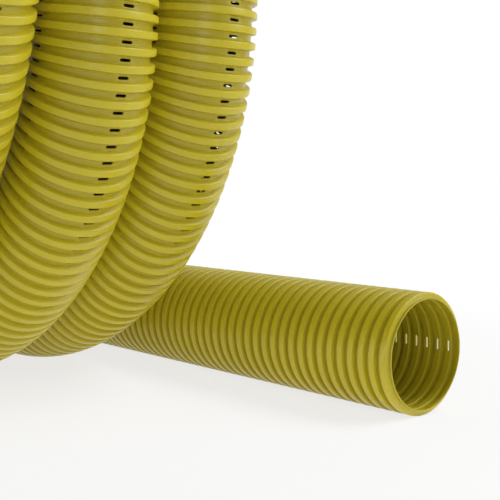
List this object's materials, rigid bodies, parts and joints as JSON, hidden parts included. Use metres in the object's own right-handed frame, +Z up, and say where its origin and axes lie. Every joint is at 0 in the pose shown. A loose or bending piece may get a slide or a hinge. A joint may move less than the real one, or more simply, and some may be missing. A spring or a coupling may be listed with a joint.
{
  "type": "corrugated drain pipe coil",
  "caption": "Loose coil of flexible corrugated drain pipe standing on its rim, with water slots in the valleys, a straight open free end and a far end lying flat.",
  "frame": {"origin": "on the floor, under the middle of the whole pipe's bounding box", "axes": "+X along the free end towards its mouth, +Z up, the coil's axis parallel to Y"},
  "size_m": [0.7132, 0.338, 0.5672],
  "materials": {
    "yellow_plastic": "satin moulded plastic, mustard yellow"
  },
  "bodies": {
    "root": {"drain_pipe": "yellow_plastic"}
  },
  "joints": []
}
